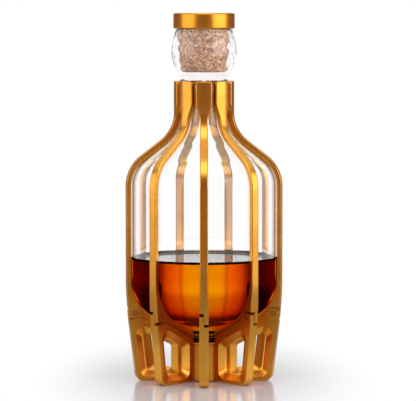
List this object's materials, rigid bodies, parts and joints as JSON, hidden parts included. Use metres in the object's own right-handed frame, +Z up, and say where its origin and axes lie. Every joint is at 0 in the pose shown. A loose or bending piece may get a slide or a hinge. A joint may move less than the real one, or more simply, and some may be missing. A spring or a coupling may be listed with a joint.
{
  "type": "whisky decanter",
  "caption": "Glass bottle held in a ribbed gold metal cage on windowed feet round a hub, with a capped cork stopper.",
  "frame": {"origin": "centre of the hub's flat bottom face, where the decanter stands", "axes": "+Z up along the bottle's axis, -Y towards the front, where one rib faces, +X to the right of it"},
  "size_m": [0.111, 0.1094, 0.2604],
  "materials": {
    "gold_anodised": "satin",
    "gold_cap": "satin turned",
    "gold_fastener": "satin",
    "steel_screw": "plain",
    "pad_rubber": "matte",
    "bottle_glass": "clear",
    "whisky_liquid": "clear amber liquid",
    "cork": "agglomerated cork"
  },
  "bodies": {
    "decanter": {"rib_1": "gold_anodised", "rib_2": "gold_anodised", "rib_3": "gold_anodised", "rib_4": "gold_anodised", "rib_5": "gold_anodised", "rib_6": "gold_anodised", "rib_7": "gold_anodised", "rib_8": "gold_anodised", "rib_9": "gold_anodised", "foot_1": "gold_anodised", "foot_2": "gold_anodised", "foot_3": "gold_anodised", "foot_4": "gold_anodised", "foot_5": "gold_anodised", "foot_6": "gold_anodised", "foot_7": "gold_anodised", "foot_8": "gold_anodised", "foot_9": "gold_anodised", "lap_screws": "gold_fastener", "lap_nuts": "gold_fastener", "hub": "gold_anodised", "hub_collar": "gold_anodised", "hub_screw": "steel_screw", "seat_pad": "pad_rubber", "glass_bottle": "bottle_glass", "whisky": "whisky_liquid"},
    "stopper": {"stopper_cap": "gold_cap", "cork": "cork"}
  },
  "joints": [
    {"name": "stopper_lift", "type": "slide", "parent": "decanter", "child": "stopper", "axis": [0, 0, 1], "range_m": [0, 0.045]}
  ]
}
